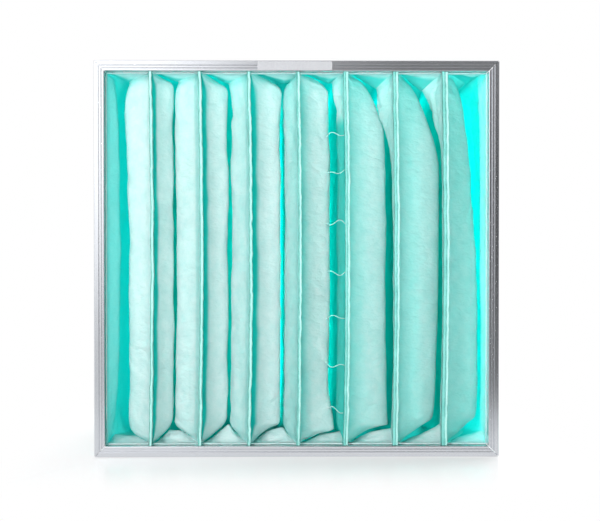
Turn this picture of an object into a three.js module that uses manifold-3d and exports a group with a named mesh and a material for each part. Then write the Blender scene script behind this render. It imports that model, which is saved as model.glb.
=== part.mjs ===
// A bag air filter: a galvanised steel header frame of four mitred channel rails that holds
// eight soft filter pockets side by side. Millimetres, +Z up, air goes in along +Y.
// The origin is the middle of the underside of the bottom rail.
import * as THREE from "three";
import { mergeVertices } from "three/addons/utils/BufferGeometryUtils.js";
import Module from "manifold-3d";

// Header frame
const HEADER_WIDTH = 592;
const HEADER_HEIGHT = 579;
const HEADER_DEPTH = 25;
const RAIL_FACE = 15.5; // width of the rail's front face
const SHEET = 0.9; // thickness of the galvanised sheet
const INNER_FLANGE_DEPTH = 20;
const REAR_LIP = 6; // width of the lip turned in at the back
const EDGE_BEND = 0.8; // chamfer that stands for the outer bend radius
const BEAD_DEPTH = 0.6;
const BEAD_SLOPE = 0.6;
const BEAD_FLOOR = 0.6;
const OUTER_BEAD_AT = 6.2; // from the rail's outer edge
const INNER_BEAD_AT = 10.1;
const MITRE_PULL = 0.45; // each rail's end stops this far short of the mitre plane

// Corner keys, the angles that join the rails inside their channels
const KEY_LEG = 42;
const KEY_THICKNESS = 1.2;
const KEY_WIDTH = 12;
const KEY_FRONT = 6; // behind the front face
const FIT = 0.3; // clearance between pieces that seat on each other

// Dividers between pockets: a steel strip in a folded fabric hem
const POCKET_COUNT = 8;
const END_POCKET_NARROWER = 8.3; // the two end pockets are this much narrower than the rest
const SEAM_SHIFT = 1.5; // the middle divider stands this far right of the header's middle
const SEAM_BOW = 3.4; // the dividers bow sideways to the right at mid height
const HEM_WIDTH = 5.6;
const HEM_FRONT = 2; // behind the front face
const HEM_DEPTH = 10;
const HEM_FABRIC = 1.9;
const HEM_SHOULDER_AT = 0.6; // the nose turns here, as a share of half the hem's width
const HEM_SHOULDER_DEPTH = 0.45;
const HEM_CHEEK_DEPTH = 2; // where the sides of the hem start behind its nose
const STRIP_THICKNESS = 1.2;
const STRIP_DEPTH = 7;
const STRIP_TAB = 4; // how far each strip end reaches through the rail's inner flange
const DIVIDER_STEPS = 8; // straight pieces that make up a divider's bow

// Pockets
const POCKET_LENGTH = 500; // from the front face to the tail seam
const MOUTH_AT = 4; // the mouth's edge behind the front face, along the hems
const RAIL_MOUTH_AT = 17; // and along the rails, at the back of their inner flange
const RAIL_ZONE = 10; // how near to a rail the mouth's edge goes back
const SETTLED_AT = 55; // from here on the pocket's rings are flat
const WALL_TURNS_AT = 20; // the walls stand straight back from the hems up to here
const CREST_AT = 85; // where the walls come closest behind the mouth
const BODY_AT = 150; // where the pocket has its full body width again
const BODY_HALF_WIDTH = 22; // of the clear space inside
const BODY_CENTRING = 0.4; // how far the body goes back to the middle of its mouth
const BODY_END_WIDTH = 0.08; // at the folds, as a share of the width at mid height
const BODY_SQUARENESS = 6; // how full the body is towards its folds
const TAIL_HALF_WIDTH = 0.6;
const TAIL_SEAM = 12; // depth of the sewn fin at the tail
const BODY_TOP_DROP = 10; // body's top below the mouth's top
const BODY_BOTTOM_RISE = 12;
const EDGE_MEDIA = 1.2; // thickness of the pressed edge of the filter media
const MEDIA = 3.5; // thickness of the filter media
const MEDIA_FULL_AT = 60;
const MIN_GAP = 13; // least clear width between the walls
const WALL_MARGIN = 0.03; // the walls' crests stay this share of the mouth's width clear of its sides
const FOLD_TUCK = 0.25; // how far a fold's middle is tucked in, as a share of its dip
const SPREAD = 0.0405; // the pockets fan outwards by this share
const SPREAD_CENTRE_X = -20;
const SPREAD_FROM = 24;
const SAG_FROM = 60;

// Label
const LABEL_WIDTH = 109;
const LABEL_HEIGHT = 12.8;
const LABEL_THICKNESS = 0.2;
const LABEL_X = -3;
const LABEL_CORNER = 1;
const LABEL_GLUE = 0.03;

const FRONT = -HEADER_DEPTH / 2;
const OPENING_HALF_WIDTH = HEADER_WIDTH / 2 - RAIL_FACE;
const SEAM_PITCH = (2 * OPENING_HALF_WIDTH + 2 * END_POCKET_NARROWER) / POCKET_COUNT;
const OPENING_TOP = HEADER_HEIGHT - RAIL_FACE;
const MID_HEIGHT = HEADER_HEIGHT / 2;

// Heights, from bottom to top of a mouth, at which each pocket's walls are given
const WALL_HEIGHTS = [0, 0.08, 0.25, 0.5, 0.72, 0.86, 0.93, 1];
// For each pocket, from left to right: where its left and right walls come closest, as shares of
// the mouth's width at those heights, and the dips of its top and bottom folds
const POCKETS = [
  {
    left: [0.16, 0.23, 0.31, 0.33, 0.325, 0.3, 0.28, 0.1],
    right: [0.72, 0.58, 0.54, 0.52, 0.5, 0.47, 0.49, 0.58],
    top: { at: 0.57, dip: 20 },
    bottom: { at: 0.4, dip: 15 },
  },
  {
    left: [0.36, 0.46, 0.465, 0.465, 0.465, 0.46, 0.46, 0.42],
    right: [0.42, 0.5, 0.5, 0.5, 0.5, 0.5, 0.51, 0.6],
    top: { at: 0.59, dip: 20 },
    bottom: { at: 0.4, dip: 28 },
  },
  {
    left: [0.5, 0.545, 0.555, 0.555, 0.555, 0.555, 0.56, 0.58],
    right: [0.56, 0.62, 0.63, 0.635, 0.635, 0.635, 0.63, 0.63],
    top: { at: 0.62, dip: 20 },
    bottom: { at: 0.54, dip: 33 },
  },
  {
    left: [0.56, 0.615, 0.62, 0.62, 0.62, 0.62, 0.62, 0.62],
    right: [0.64, 0.7, 0.715, 0.715, 0.715, 0.72, 0.73, 0.8],
    top: { at: 0.7, dip: 20 },
    bottom: { at: 0.62, dip: 29 },
  },
  {
    left: [0.55, 0.62, 0.645, 0.65, 0.65, 0.65, 0.64, 0.42],
    right: [0.85, 0.82, 0.81, 0.815, 0.815, 0.82, 0.79, 0.8],
    top: { at: 0.66, dip: 16 },
    bottom: { at: 0.75, dip: 22 },
  },
  {
    left: [0.72, 0.85, 0.81, 0.77, 0.78, 0.73, 0.5, 0.12],
    right: [0.97, 0.98, 0.93, 0.89, 0.87, 0.78, 0.66, 0.64],
    top: { at: 0.57, dip: 20 },
    bottom: { at: 0.9, dip: 26 },
  },
  {
    left: [0.2, 0.76, 0.84, 0.87, 0.9, 0.67, 0.46, 0.1],
    right: [0.97, 0.97, 0.98, 0.98, 0.98, 0.78, 0.61, 0.6],
    top: { at: 0.57, dip: 22 },
    bottom: { at: 0.8, dip: 38 },
  },
  {
    left: [0.15, 0.71, 0.76, 0.69, 0.56, 0.43, 0.33, 0.02],
    right: [0.87, 0.86, 0.85, 0.82, 0.81, 0.79, 0.76, 0.72],
    top: { at: 0.6, dip: 9 },
    bottom: { at: 0.85, dip: 20 },
  },
];

const STEEL = new THREE.MeshStandardMaterial({ color: 0xb4b8bc, roughness: 0.38, metalness: 0.9 });
const STRIP_STEEL = new THREE.MeshStandardMaterial({ color: 0xa2a6aa, roughness: 0.45, metalness: 0.9 });
const MEDIA_FABRIC = new THREE.MeshStandardMaterial({ color: 0xa6ecdf, roughness: 0.95, metalness: 0 });
const HEM_MATERIAL = new THREE.MeshStandardMaterial({ color: 0xbdf3e9, roughness: 0.9, metalness: 0 });
const PAPER = new THREE.MeshStandardMaterial({ color: 0xf4f4f2, roughness: 0.6, metalness: 0 });

const wasm = await Module();
wasm.setup();

const mix = (a, b, t) => a + (b - a) * t;

function smooth(from, to, value) {
  const t = Math.min(Math.max((value - from) / (to - from), 0), 1);
  return t * t * (3 - 2 * t);
}

// A closed geometry from shared points and triangles, with its faces turned outwards.
function closedGeometry(points, triangles) {
  const corner = (i) => new THREE.Vector3(...points[i]);
  const volume = triangles.reduce(
    (sum, [a, b, c]) => sum + corner(a).dot(corner(b).cross(corner(c))) / 6,
    0,
  );
  const faces = volume < 0 ? triangles.map(([a, b, c]) => [a, c, b]) : triangles;
  const geometry = new THREE.BufferGeometry();
  geometry.setAttribute("position", new THREE.Float32BufferAttribute(points.flat(), 3));
  geometry.setIndex(faces.flat());
  geometry.computeVertexNormals();
  return geometry;
}

// Adds the triangles of a band between two rings of equal size.
function addBand(triangles, firstRing, secondRing, count) {
  for (let i = 0; i < count; i++) {
    const next = (i + 1) % count;
    triangles.push([firstRing + i, secondRing + i, secondRing + next]);
    triangles.push([firstRing + i, secondRing + next, firstRing + next]);
  }
}

// A solid swept through rings that all follow the same flat outline.
function sweptGeometry(outline, rings) {
  const count = outline.length;
  const flat = outline.map(([u, v]) => new THREE.Vector2(u, v));
  const clockwise = THREE.ShapeUtils.isClockWise(flat);
  const cap = THREE.ShapeUtils.triangulateShape(flat, []);
  const triangles = [];
  for (let r = 0; r + 1 < rings.length; r++) addBand(triangles, r * count, (r + 1) * count, count);
  const last = (rings.length - 1) * count;
  for (const [a, b, c] of cap) {
    triangles.push(clockwise ? [a, c, b] : [a, b, c]);
    triangles.push(clockwise ? [last + a, last + b, last + c] : [last + a, last + c, last + b]);
  }
  return closedGeometry(rings.flat(), triangles);
}

function manifoldOf(geometry) {
  const plain = geometry.clone();
  plain.deleteAttribute("normal");
  plain.deleteAttribute("uv");
  const merged = mergeVertices(plain, 1e-4);
  return new wasm.Manifold(
    new wasm.Mesh({
      numProp: 3,
      vertProperties: merged.attributes.position.array,
      triVerts: new Uint32Array(merged.index.array),
    }),
  );
}

function geometryOf(manifold) {
  const mesh = manifold.getMesh();
  const geometry = new THREE.BufferGeometry();
  geometry.setAttribute("position", new THREE.BufferAttribute(mesh.vertProperties, 3));
  geometry.setIndex(new THREE.BufferAttribute(mesh.triVerts, 1));
  geometry.computeVertexNormals();
  return geometry;
}

function named(name, geometry, material) {
  const mesh = new THREE.Mesh(geometry, material);
  mesh.name = name;
  return mesh;
}

// The rail's section: first number is the distance from the rail's outer edge, second is the
// distance behind the front face. It runs from the rear lip round the face to the inner flange.
function railOuterPath() {
  const bead = (at) => [
    [at, 0],
    [at + BEAD_SLOPE, BEAD_DEPTH],
    [at + BEAD_SLOPE + BEAD_FLOOR, BEAD_DEPTH],
    [at + 2 * BEAD_SLOPE + BEAD_FLOOR, 0],
  ];
  return [
    [REAR_LIP, HEADER_DEPTH],
    [EDGE_BEND, HEADER_DEPTH],
    [0, HEADER_DEPTH - EDGE_BEND],
    [0, EDGE_BEND],
    [EDGE_BEND, 0],
    ...bead(OUTER_BEAD_AT),
    ...bead(INNER_BEAD_AT),
    [RAIL_FACE - 1.5 * EDGE_BEND, 0],
    [RAIL_FACE - 0.5 * EDGE_BEND, 0.5 * EDGE_BEND],
    [RAIL_FACE, 1.5 * EDGE_BEND],
    [RAIL_FACE, INNER_FLANGE_DEPTH],
  ];
}

// Moves an open path sideways by a distance, keeping its bends parallel.
function offsetPath(path, distance) {
  const points = path.map(([u, v]) => new THREE.Vector2(u, v));
  const normals = points.slice(1).map((p, i) => {
    const along = p.clone().sub(points[i]).normalize();
    return new THREE.Vector2(-along.y, along.x);
  });
  return points.map((p, i) => {
    const before = normals[Math.max(i - 1, 0)];
    const after = normals[Math.min(i, normals.length - 1)];
    const bisector = before.clone().add(after).normalize();
    const moved = p.clone().addScaledVector(bisector, distance / bisector.dot(before));
    return [moved.x, moved.y];
  });
}

function railSection() {
  const outer = railOuterPath();
  return [...outer, ...offsetPath(outer, SHEET).reverse()];
}

// A rail along one side of the header, with both ends mitred at 45 degrees.
function railGeometry(length, place) {
  const section = railSection();
  const rings = [-1, 1].map((end) =>
    section.map(([fromEdge, depth]) =>
      place(fromEdge, FRONT + depth, end * (length / 2 - fromEdge - MITRE_PULL)),
    ),
  );
  return sweptGeometry(section, rings);
}

// Sideways place of the divider line between two pockets, at a height.
function seamX(index, z) {
  if (index === 0) return -OPENING_HALF_WIDTH;
  if (index === POCKET_COUNT) return OPENING_HALF_WIDTH;
  const fromMiddle = (z - MID_HEIGHT) / MID_HEIGHT;
  const bow = SEAM_BOW * (1 - fromMiddle * fromMiddle);
  return SEAM_SHIFT + (index - POCKET_COUNT / 2) * SEAM_PITCH + bow;
}

// The top and bottom rails are slotted where the divider strips pass through.
function slottedRail(geometry, flangeZ) {
  let rail = manifoldOf(geometry);
  for (let i = 1; i < POCKET_COUNT; i++) {
    const throughFlange = 4 * SHEET;
    const slot = new THREE.BoxGeometry(
      STRIP_THICKNESS + 2 * FIT,
      STRIP_DEPTH + 2 * FIT,
      throughFlange,
    );
    const stripMiddle = FRONT + HEM_FRONT + HEM_FABRIC + FIT + STRIP_DEPTH / 2;
    slot.translate(seamX(i, flangeZ), stripMiddle, flangeZ);
    rail = rail.subtract(manifoldOf(slot));
  }
  return geometryOf(rail);
}

function makeRails() {
  const bottom = railGeometry(HEADER_WIDTH, (edge, y, along) => [along, y, edge]);
  const top = railGeometry(HEADER_WIDTH, (edge, y, along) => [along, y, HEADER_HEIGHT - edge]);
  const left = railGeometry(HEADER_HEIGHT, (edge, y, along) => [
    edge - HEADER_WIDTH / 2,
    y,
    MID_HEIGHT + along,
  ]);
  const right = railGeometry(HEADER_HEIGHT, (edge, y, along) => [
    HEADER_WIDTH / 2 - edge,
    y,
    MID_HEIGHT + along,
  ]);
  return [
    named("rail_bottom", slottedRail(bottom, RAIL_FACE - SHEET / 2), STEEL),
    named("rail_top", slottedRail(top, OPENING_TOP + SHEET / 2), STEEL),
    named("rail_left", left, STEEL),
    named("rail_right", right, STEEL),
  ];
}

// An angle of flat bar that lies in the corner of two channels, against their outer flanges.
function cornerKey(name, sideX, sideZ) {
  const shape = new THREE.Shape();
  shape.moveTo(0, 0);
  shape.lineTo(KEY_LEG, 0);
  shape.lineTo(KEY_LEG, KEY_THICKNESS);
  shape.lineTo(KEY_THICKNESS, KEY_THICKNESS);
  shape.lineTo(KEY_THICKNESS, KEY_LEG);
  shape.lineTo(0, KEY_LEG);
  shape.closePath();
  const bar = new THREE.ExtrudeGeometry(shape, { depth: KEY_WIDTH, bevelEnabled: false });
  bar.rotateX(Math.PI / 2);
  bar.translate(0, KEY_WIDTH, 0);
  const key = named(name, bar, STRIP_STEEL);
  const seat = SHEET + FIT;
  key.rotation.y = { "-1,-1": 0, "-1,1": Math.PI / 2, "1,1": Math.PI, "1,-1": -Math.PI / 2 }[
    `${sideX},${sideZ}`
  ];
  key.position.set(
    sideX * (HEADER_WIDTH / 2 - seat),
    FRONT + KEY_FRONT,
    sideZ < 0 ? seat : HEADER_HEIGHT - seat,
  );
  return key;
}

function makeCornerKeys() {
  return [
    cornerKey("corner_key_bottom_left", -1, -1),
    cornerKey("corner_key_bottom_right", 1, -1),
    cornerKey("corner_key_top_left", -1, 1),
    cornerKey("corner_key_top_right", 1, 1),
  ];
}

// Heights at which a divider is built, evenly from its bottom to its top.
function dividerHeights(bottom, top) {
  return Array.from({ length: DIVIDER_STEPS + 1 }, (_, i) => mix(bottom, top, i / DIVIDER_STEPS));
}

// The fabric fold that joins two pockets: a rounded nose to the front, open to the back.
function hemGeometry(index) {
  const half = HEM_WIDTH / 2;
  const slot = STRIP_THICKNESS / 2 + FIT;
  const back = HEM_FRONT + HEM_DEPTH;
  const shoulder = HEM_SHOULDER_AT * half;
  const outline = [
    [-half, back],
    [-half, HEM_FRONT + HEM_CHEEK_DEPTH],
    [-shoulder, HEM_FRONT + HEM_SHOULDER_DEPTH],
    [0, HEM_FRONT],
    [shoulder, HEM_FRONT + HEM_SHOULDER_DEPTH],
    [half, HEM_FRONT + HEM_CHEEK_DEPTH],
    [half, back],
    [slot, back],
    [slot, HEM_FRONT + HEM_FABRIC],
    [-slot, HEM_FRONT + HEM_FABRIC],
    [-slot, back],
  ];
  const rings = dividerHeights(RAIL_FACE + FIT, OPENING_TOP - FIT).map((z) =>
    outline.map(([x, depth]) => [seamX(index, z) + x, FRONT + depth, z]),
  );
  return sweptGeometry(outline, rings);
}

function stripGeometry(index) {
  const half = STRIP_THICKNESS / 2;
  const front = HEM_FRONT + HEM_FABRIC + FIT;
  const outline = [
    [-half, front],
    [half, front],
    [half, front + STRIP_DEPTH],
    [-half, front + STRIP_DEPTH],
  ];
  const rings = dividerHeights(RAIL_FACE - STRIP_TAB, OPENING_TOP + STRIP_TAB).map((z) =>
    outline.map(([x, depth]) => [seamX(index, z) + x, FRONT + depth, z]),
  );
  return sweptGeometry(outline, rings);
}

function makeDividers() {
  const meshes = [];
  for (let i = 1; i < POCKET_COUNT; i++) {
    meshes.push(named(`divider_strip_${i}`, stripGeometry(i), STRIP_STEEL));
    meshes.push(named(`divider_hem_${i}`, hemGeometry(i), HEM_MATERIAL));
  }
  return meshes;
}

// Thickness of the filter media at a depth behind the front face.
const mediaAt = (depth) => mix(EDGE_MEDIA, MEDIA, smooth(HEADER_DEPTH, MEDIA_FULL_AT, depth));

// How far a fold of the top or bottom reaches into the mouth at a share of its width.
const foldDip = (fold, share) => fold.dip * Math.min(share / fold.at, (1 - share) / (1 - fold.at));

// The inner or outer face of a pocket's wall as one ring at a depth. The ring goes up the left
// wall, across the top, down the right wall and back along the bottom.
function pocketRing(index, depth, thickness) {
  const pocket = POCKETS[index];
  const edge = FIT + EDGE_MEDIA;
  const hemSide = (seam) => (seam === 0 || seam === POCKET_COUNT ? edge : edge + HEM_WIDTH / 2);
  const mouthBottom = RAIL_FACE + edge;
  const mouthTop = OPENING_TOP - edge;
  const mouthX = (share, z) =>
    mix(
      seamX(index, z) + hemSide(index),
      seamX(index + 1, z) - hemSide(index + 1),
      share,
    );
  const toCrest = smooth(WALL_TURNS_AT, CREST_AT, depth);
  const toBody = smooth(CREST_AT, BODY_AT, depth);
  const toTail = smooth(BODY_AT, POCKET_LENGTH - TAIL_SEAM, depth);
  const spread = 1 + SPREAD * smooth(SPREAD_FROM, CREST_AT, depth);
  const fromCentre = (centre, value) => centre + (value - centre) * spread;
  const bodyShare = (pocket.left[3] + pocket.right[3]) / 2;
  const bodyLimit = OPENING_HALF_WIDTH - BODY_HALF_WIDTH - MEDIA;
  const freeBodyX = mouthX(mix(bodyShare, 0.5, BODY_CENTRING), MID_HEIGHT);
  const bodyX = Math.min(Math.max(freeBodyX, -bodyLimit), bodyLimit);
  const halfWidth = mix(BODY_HALF_WIDTH, TAIL_HALF_WIDTH, toTail);

  // A wall point: side is -1 on the left wall and 1 on the right wall.
  function wallPoint(step, side) {
    const height = WALL_HEIGHTS[step];
    const mouthWidth = mouthX(1, MID_HEIGHT) - mouthX(0, MID_HEIGHT);
    const gap = Math.max((pocket.right[step] - pocket.left[step]) * mouthWidth, MIN_GAP);
    const halfShare = gap / 2 / mouthWidth;
    const middle = (pocket.left[step] + pocket.right[step]) / 2;
    const reach = halfShare + WALL_MARGIN;
    const share = Math.min(Math.max(middle, reach), 1 - reach) + side * halfShare;
    const low = mouthBottom + foldDip(pocket.bottom, share);
    const high = mouthTop - foldDip(pocket.top, share);
    const mouthZ = mix(mouthBottom, mouthTop, height);
    const crestZ = mix(low, high, height);
    const bodyZ = mix(mouthBottom + BODY_BOTTOM_RISE, mouthTop - BODY_TOP_DROP, height);
    const fullness = Math.sqrt(1 - Math.abs(2 * height - 1) ** BODY_SQUARENESS);
    const rounding = mix(BODY_END_WIDTH, 1, fullness);
    const crestX = mouthX(share, crestZ);
    const startX = mouthX(side < 0 ? 0 : 1, mouthZ);
    const x = mix(mix(startX, crestX, toCrest), bodyX + side * halfWidth * rounding, toBody);
    const z = mix(mix(mouthZ, crestZ, toCrest), bodyZ, toBody);
    const vertical = step === 0 ? -1 : step === WALL_HEIGHTS.length - 1 ? 1 : 0;
    return [
      fromCentre(SPREAD_CENTRE_X, x) + side * thickness,
      fromCentre(MID_HEIGHT, z) + vertical * thickness,
    ];
  }

  // Points across the top or bottom fold between the two walls' ends.
  function foldPoints(step, fold) {
    const inward = step === 0 ? 1 : -1;
    const [leftX, leftZ] = wallPoint(step, -1);
    const [rightX, rightZ] = wallPoint(step, 1);
    return [1 / 3, 2 / 3].map((t) => {
      const x = mix(leftX, rightX, t);
      const chord = mix(leftZ, rightZ, t);
      const inFold = inward * fold.dip * FOLD_TUCK * toCrest * (1 - toBody);
      return [x, chord + inFold * (1 - thickness / MEDIA)];
    });
  }

  const last = WALL_HEIGHTS.length - 1;
  const steps = WALL_HEIGHTS.map((_, step) => step);
  const ring = [
    ...steps.map((step) => wallPoint(step, -1)),
    ...foldPoints(last, pocket.top),
    ...steps.toReversed().map((step) => wallPoint(step, 1)),
    ...foldPoints(0, pocket.bottom).toReversed(),
  ];
  // Along the rails the mouth's edge lies further back than along the hems.
  const nearRail = (x, z) =>
    Math.max(
      smooth(mouthTop - RAIL_ZONE, mouthTop - RAIL_ZONE / 3, z),
      smooth(mouthBottom + RAIL_ZONE, mouthBottom + RAIL_ZONE / 3, z),
      smooth(OPENING_HALF_WIDTH - RAIL_ZONE, OPENING_HALF_WIDTH - RAIL_ZONE / 3, Math.abs(x)),
    );
  const backTo = (x, z) => {
    const start = mix(MOUTH_AT, RAIL_MOUTH_AT, nearRail(x, z));
    return Math.max(depth, mix(start, SETTLED_AT, (depth - MOUTH_AT) / (SETTLED_AT - MOUTH_AT)));
  };
  return ring.map(([x, z]) => [x, FRONT + (depth < SETTLED_AT ? backTo(x, z) : depth), z]);
}

// Lets the pocket sink towards its tail until its lower edge lies level with the header's base.
function sag(ring, depth, drop) {
  const down = drop * smooth(SAG_FROM, POCKET_LENGTH - 2 * TAIL_SEAM, depth);
  return ring.map(([x, y, z]) => [x, y, z - down]);
}

const RING_DEPTHS = [MOUTH_AT, SPREAD_FROM, 40, SETTLED_AT, 70, CREST_AT, 102, 125, BODY_AT, 240, 330, 420];
const TAIL_INSIDE = POCKET_LENGTH - TAIL_SEAM;

function pocketGeometry(index) {
  const innerDepths = [...RING_DEPTHS, TAIL_INSIDE];
  const outerDepths = [...RING_DEPTHS, TAIL_INSIDE, POCKET_LENGTH];
  const tailThickness = (depth) => (depth > TAIL_INSIDE ? MEDIA / 2 : mediaAt(depth));
  const tailRing = pocketRing(index, TAIL_INSIDE, MEDIA);
  const drop = Math.min(...tailRing.map(([, , z]) => z));
  const inner = innerDepths.map((depth) => sag(pocketRing(index, depth, 0), depth, drop));
  const outer = outerDepths.map((depth) =>
    sag(pocketRing(index, depth, tailThickness(depth)), depth, drop),
  );
  const count = inner[0].length;
  const rings = [...inner.toReversed(), ...outer];
  const triangles = [];
  for (let r = 0; r + 1 < rings.length; r++) addBand(triangles, r * count, (r + 1) * count, count);
  closeSlit(triangles, 0, count, false);
  closeSlit(triangles, (rings.length - 1) * count, count, true);
  return closedGeometry(rings.flat(), triangles);
}

// Closes a tall narrow ring by joining each point of its left wall to the one across from it.
function closeSlit(triangles, start, count, flipped) {
  const wall = WALL_HEIGHTS.length;
  const left = Array.from({ length: wall }, (_, i) => start + i);
  const right = Array.from({ length: wall }, (_, i) => start + 2 * wall + 1 - i);
  const add = (a, b, c) => triangles.push(flipped ? [a, c, b] : [a, b, c]);
  for (let i = 0; i + 1 < wall; i++) {
    add(left[i], left[i + 1], right[i + 1]);
    add(left[i], right[i + 1], right[i]);
  }
  add(left[wall - 1], start + wall, start + wall + 1);
  add(left[wall - 1], start + wall + 1, right[wall - 1]);
  add(right[0], start + count - 2, start + count - 1);
  add(right[0], start + count - 1, left[0]);
}

function makePockets() {
  return POCKETS.map((_, i) => named(`pocket_${i + 1}`, pocketGeometry(i), MEDIA_FABRIC));
}

// A blank paper label stuck on the top rail's face.
function makeLabel() {
  const w = LABEL_WIDTH / 2;
  const h = LABEL_HEIGHT / 2;
  const shape = new THREE.Shape();
  shape.moveTo(-w + LABEL_CORNER, -h);
  shape.lineTo(w - LABEL_CORNER, -h);
  shape.absarc(w - LABEL_CORNER, -h + LABEL_CORNER, LABEL_CORNER, -Math.PI / 2, 0);
  shape.absarc(w - LABEL_CORNER, h - LABEL_CORNER, LABEL_CORNER, 0, Math.PI / 2);
  shape.absarc(-w + LABEL_CORNER, h - LABEL_CORNER, LABEL_CORNER, Math.PI / 2, Math.PI);
  shape.absarc(-w + LABEL_CORNER, -h + LABEL_CORNER, LABEL_CORNER, Math.PI, 1.5 * Math.PI);
  const sheet = new THREE.ExtrudeGeometry(shape, {
    depth: LABEL_THICKNESS,
    bevelEnabled: false,
    curveSegments: 3,
  });
  const label = named("label", sheet, PAPER);
  label.rotation.x = Math.PI / 2;
  label.position.set(LABEL_X, FRONT - LABEL_GLUE, HEADER_HEIGHT - RAIL_FACE / 2);
  return label;
}

const filter = new THREE.Group();
filter.name = "bag_air_filter";
const header = new THREE.Group();
header.add(...makeRails(), ...makeCornerKeys(), makeLabel());
const bags = new THREE.Group();
bags.add(...makeDividers(), ...makePockets());
filter.add(header, bags);

export default filter;
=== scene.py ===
"""A bag air filter: steel header frame, eight soft pockets, folded hems, spacer threads, label."""
import math

import bpy
import numpy as np
from mathutils import Euler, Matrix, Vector


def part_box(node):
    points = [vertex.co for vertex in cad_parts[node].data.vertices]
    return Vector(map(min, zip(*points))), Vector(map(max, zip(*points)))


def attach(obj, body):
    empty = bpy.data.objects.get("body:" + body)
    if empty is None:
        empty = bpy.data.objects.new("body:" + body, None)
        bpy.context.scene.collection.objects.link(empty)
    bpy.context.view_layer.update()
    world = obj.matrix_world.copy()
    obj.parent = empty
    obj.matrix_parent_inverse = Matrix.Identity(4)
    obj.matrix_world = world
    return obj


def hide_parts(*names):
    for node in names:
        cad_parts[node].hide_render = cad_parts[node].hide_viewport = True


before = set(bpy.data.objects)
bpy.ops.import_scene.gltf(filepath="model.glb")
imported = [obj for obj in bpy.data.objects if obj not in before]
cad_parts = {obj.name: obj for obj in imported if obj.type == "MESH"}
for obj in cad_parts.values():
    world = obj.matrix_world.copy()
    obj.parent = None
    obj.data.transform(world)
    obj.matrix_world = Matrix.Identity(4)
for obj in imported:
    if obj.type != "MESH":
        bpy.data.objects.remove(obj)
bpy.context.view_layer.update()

# Sizes here are millimetres, and meshes are made in metres.
MM = 0.001

# Header, measured from the frame
RAIL_BOX = {side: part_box(f"rail_{side}") for side in ("left", "right", "top", "bottom")}
FRONT = RAIL_BOX["left"][0][1] / MM
HEADER_DEPTH = (RAIL_BOX["left"][1][1] - RAIL_BOX["left"][0][1]) / MM
OPENING_LEFT = RAIL_BOX["left"][1][0] / MM
OPENING_RIGHT = RAIL_BOX["right"][0][0] / MM
OPENING_BOTTOM = RAIL_BOX["bottom"][1][2] / MM
OPENING_TOP = RAIL_BOX["top"][0][2] / MM
HEADER_HEIGHT = RAIL_BOX["top"][1][2] / MM
MID_HEIGHT = HEADER_HEIGHT / 2

# Dividers
POCKET_COUNT = 8
SEAM_PITCH = 72.2
SEAM_SHIFT = 1.5
SEAM_BOW = 3.4
HEM_FRONT = 2.0
HEM_BACK = 12.0
# Each hem's left edge, groove and right edge, from its seam line
HEMS = [
    (-2.2, -1.7, 2.4),
    (-2.4, -1.5, 2.6),
    (-2.4, -1.5, 2.6),
    (-2.8, -1.3, 2.5),
    (-5.8, -2.4, 1.5),
    (-6.0, -2.0, 1.8),
    (-6.2, -1.8, 2.3),
]
HEM_COVER = 0.8

# Pockets
POCKET_LENGTH = 500.0
MOUTH_AT = 12.8
CREST_AT = 85.0
BODY_AT = 150.0
BODY_HALF_WIDTH = 22.0
TAIL_HALF_WIDTH = 0.8
FOLD_WIDTH = 0.08
TAIL_SEAM = 12.0
BODY_TOP_DROP = 10.0
BODY_BOTTOM_RISE = 12.0
EDGE_MEDIA = 1.0
MEDIA = 3.2
MEDIA_FULL_AT = 60.0
MIN_GAP = 3.2
EDGE_GAP = 0.5
SPREAD = 0.0405
SPREAD_CENTRE_X = -20.0
SPREAD_FROM = 24.0
SAG_FROM = 60.0
CORNER_REACH = 9.0
WALL_TURNS_AT = 34.0
RAIL_MOUTH_AT = 18.0
SETTLED_AT = 60.0
# Painted shade: how dark the media is painted deep inside past the crest, and along the top fold's crest
PAINTED_SHADE_INSIDE = 0.7
TOP_FOLD_PAINTED_SHADE = 0.85

# Points around one ring of a pocket: up the left wall, over the top, down the right wall and back below
WALL_STEPS = 110
FOLD_STEPS = 22
LEFT_WALL = slice(0, WALL_STEPS)
TOP_FOLD = slice(WALL_STEPS, WALL_STEPS + FOLD_STEPS)
RIGHT_WALL = slice(WALL_STEPS + FOLD_STEPS, 2 * WALL_STEPS + FOLD_STEPS)

# Rings along a pocket: close together in the part that shows, up to FINE_UNTIL
FINE_UNTIL = 140.0
FINE_RINGS = 46
COARSE_RINGS = 34
FINE_DEPTHS = np.linspace(MOUTH_AT, FINE_UNTIL, FINE_RINGS)

THREADED_POCKET = 4
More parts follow.
